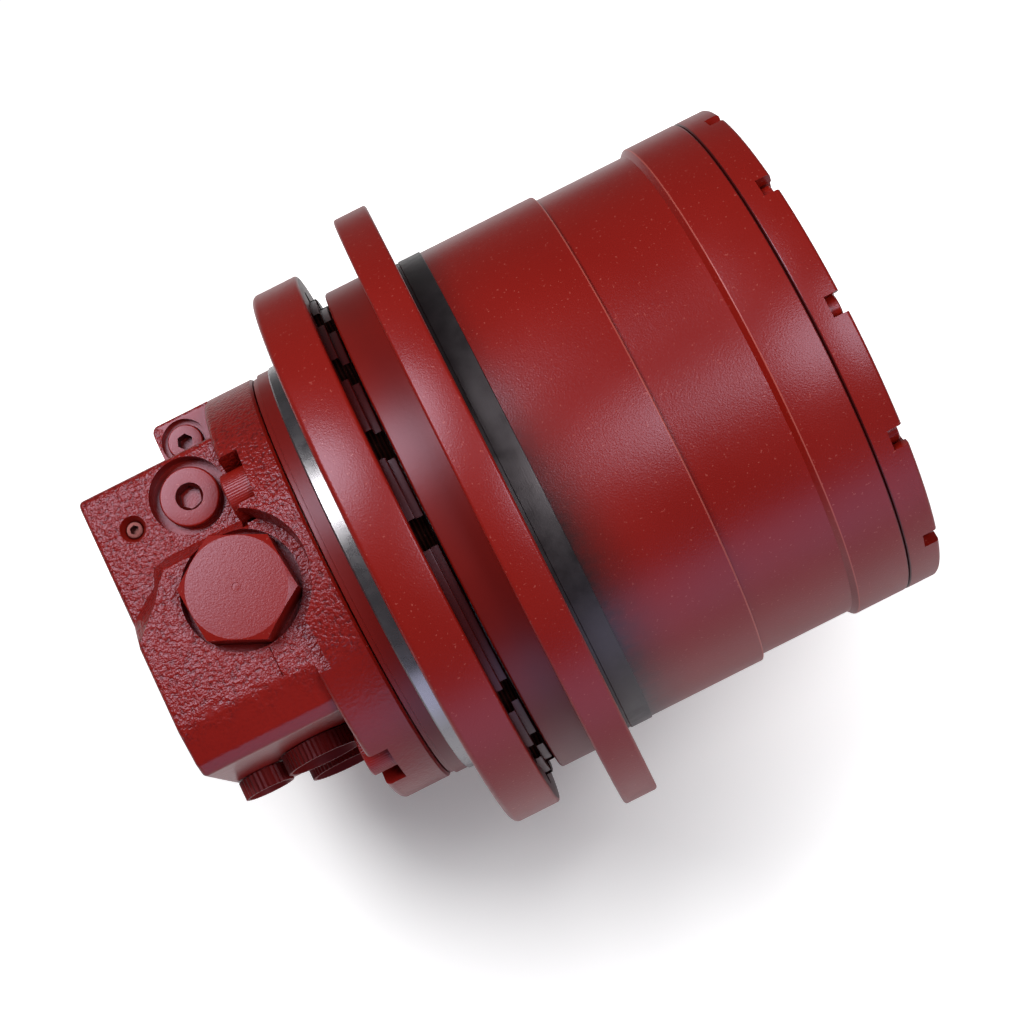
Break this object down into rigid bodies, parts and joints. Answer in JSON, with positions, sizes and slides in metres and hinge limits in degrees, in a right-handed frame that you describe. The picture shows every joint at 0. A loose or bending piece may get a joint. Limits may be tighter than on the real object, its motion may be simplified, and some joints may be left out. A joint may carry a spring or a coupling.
{
  "type": "excavator final drive",
  "caption": "Hydraulic travel motor with valve block, frame flange and two-stage planetary gearbox in a rotating hub with sprocket flange, stepped drum and notched end cover",
  "frame": {"origin": "on the drive axis, in the plane of the face that bolts to the track frame", "axes": "+X along the drive axis from the motor towards the end cover, +Y towards the side block of the valve block, +Z towards the raised pad with the large hex plug"},
  "size_m": [0.3443, 0.3134, 0.3134],
  "materials": {
    "red_enamel": "deep red satin gloss enamel on machined iron",
    "red_enamel_on_casting": "deep red satin gloss enamel on a sand casting",
    "red_painted_cap": "ribbed plastic cap, painted over in red",
    "machined_steel": "bright machined steel",
    "case_hardened_steel": "ground and case hardened steel",
    "cast_iron": "bare ductile iron",
    "bearing_bronze": "bronze and brass of bearings and port plate",
    "nitrile_rubber": "black oil proof rubber",
    "friction_lining": "moulded friction lining"
  },
  "bodies": {
    "frame_side": {"spindle_housing": "red_enamel", "motor_valve_block": "red_enamel_on_casting", "block_face_seal": "nitrile_rubber", "block_screw_1": "machined_steel", "block_screw_2": "machined_steel", "block_screw_3": "machined_steel", "block_screw_4": "machined_steel", "counterbalance_plug_front": "red_enamel", "counterbalance_plug_rear": "red_enamel", "counterbalance_spring_front": "machined_steel", "counterbalance_spring_rear": "machined_steel", "relief_plug": "red_enamel", "side_port_plug": "red_enamel", "gauge_plug": "machined_steel", "port_cap_main_upper": "red_painted_cap", "port_cap_main_lower": "red_painted_cap", "port_cap_pilot": "red_painted_cap", "seal_ring_frame": "case_hardened_steel", "seal_toric_frame": "nitrile_rubber", "main_bearing_left_inner_race": "machined_steel", "main_bearing_right_inner_race": "machined_steel", "bearing_nut": "case_hardened_steel", "second_stage_carrier": "cast_iron", "shaft_bearing_front": "bearing_bronze", "shaft_bearing_rear": "bearing_bronze", "shaft_seal": "nitrile_rubber", "valve_plate": "bearing_bronze", "swash_plate": "case_hardened_steel", "brake_separator": "case_hardened_steel", "brake_spring": "case_hardened_steel"},
    "hub": {"hub_housing": "red_enamel", "end_cover": "red_enamel", "cover_seal": "nitrile_rubber", "oil_plug_level": "machined_steel", "oil_plug_drain": "machined_steel", "thrust_pad": "machined_steel", "ring_gear": "case_hardened_steel", "seal_ring_hub": "case_hardened_steel", "seal_toric_hub": "nitrile_rubber", "main_bearing_left_outer_race": "machined_steel", "main_bearing_right_outer_race": "machined_steel"},
    "bearing_cages": {"main_bearing_left_rollers": "bearing_bronze", "main_bearing_right_rollers": "bearing_bronze"},
    "motor_shaft": {"drive_shaft": "case_hardened_steel", "cylinder_block": "case_hardened_steel", "pistons_and_retainer": "bearing_bronze", "brake_friction_disc": "friction_lining"},
    "first_carrier": {"first_stage_carrier": "cast_iron", "second_sun_gear": "case_hardened_steel"},
    "first_planet_a": {"first_stage_planet_1": "case_hardened_steel"},
    "first_planet_b": {"first_stage_planet_2": "case_hardened_steel"},
    "first_planet_c": {"first_stage_planet_3": "case_hardened_steel"},
    "second_planet_a": {"second_stage_planet_1": "case_hardened_steel"},
    "second_planet_b": {"second_stage_planet_2": "case_hardened_steel"},
    "second_planet_c": {"second_stage_planet_3": "case_hardened_steel"},
    "spool": {"counterbalance_spool": "machined_steel"},
    "brake_slider": {"brake_piston": "case_hardened_steel"}
  },
  "joints": [
    {"name": "hub_spin", "type": "hinge", "parent": "frame_side", "child": "hub", "pos_m": [0.1, 0, 0], "axis": [1, 0, 0], "continuous": true},
    {"name": "bearing_cage_spin", "type": "hinge", "parent": "frame_side", "child": "bearing_cages", "pos_m": [0.083, 0, 0], "axis": [1, 0, 0], "continuous": true},
    {"name": "shaft_spin", "type": "hinge", "parent": "frame_side", "child": "motor_shaft", "pos_m": [0.05, 0, 0], "axis": [1, 0, 0], "continuous": true},
    {"name": "first_carrier_spin", "type": "hinge", "parent": "frame_side", "child": "first_carrier", "pos_m": [0.165, 0, 0], "axis": [1, 0, 0], "continuous": true},
    {"name": "first_planet_a_spin", "type": "hinge", "parent": "first_carrier", "child": "first_planet_a", "pos_m": [0.183, 0, 0.06075], "axis": [1, 0, 0], "continuous": true},
    {"name": "first_planet_b_spin", "type": "hinge", "parent": "first_carrier", "child": "first_planet_b", "pos_m": [0.183, -0.05261, -0.03037], "axis": [1, 0, 0], "continuous": true},
    {"name": "first_planet_c_spin", "type": "hinge", "parent": "first_carrier", "child": "first_planet_c", "pos_m": [0.183, 0.05261, -0.03037], "axis": [1, 0, 0], "continuous": true},
    {"name": "second_planet_a_spin", "type": "hinge", "parent": "frame_side", "child": "second_planet_a", "pos_m": [0.145, 0, 0.06075], "axis": [1, 0, 0], "continuous": true},
    {"name": "second_planet_b_spin", "type": "hinge", "parent": "frame_side", "child": "second_planet_b", "pos_m": [0.145, -0.05261, -0.03037], "axis": [1, 0, 0], "continuous": true},
    {"name": "second_planet_c_spin", "type": "hinge", "parent": "frame_side", "child": "second_planet_c", "pos_m": [0.145, 0.05261, -0.03037], "axis": [1, 0, 0], "continuous": true},
    {"name": "spool_slide", "type": "slide", "parent": "frame_side", "child": "spool", "axis": [0, 0, 1], "range_m": [-0.004, 0.004], "stiffness_N_per_m": 20000, "deforming": ["counterbalance_spring_front", "counterbalance_spring_rear"]},
    {"name": "brake_release", "type": "slide", "parent": "frame_side", "child": "brake_slider", "axis": [-1, 0, 0], "range_m": [0, 0.0025], "stiffness_N_per_m": 40000}
  ],
  "couplings": [
    {"joint": "bearing_cage_spin", "follows": "hub_spin", "ratio": 0.5214},
    {"joint": "shaft_spin", "follows": "hub_spin", "ratio": -19.25},
    {"joint": "first_carrier_spin", "follows": "hub_spin", "ratio": -3.5},
    {"joint": "first_planet_a_spin", "follows": "hub_spin", "ratio": 12.6},
    {"joint": "first_planet_b_spin", "follows": "hub_spin", "ratio": 12.6},
    {"joint": "first_planet_c_spin", "follows": "hub_spin", "ratio": 12.6},
    {"joint": "second_planet_a_spin", "follows": "hub_spin", "ratio": 2.8},
    {"joint": "second_planet_b_spin", "follows": "hub_spin", "ratio": 2.8},
    {"joint": "second_planet_c_spin", "follows": "hub_spin", "ratio": 2.8}
  ]
}
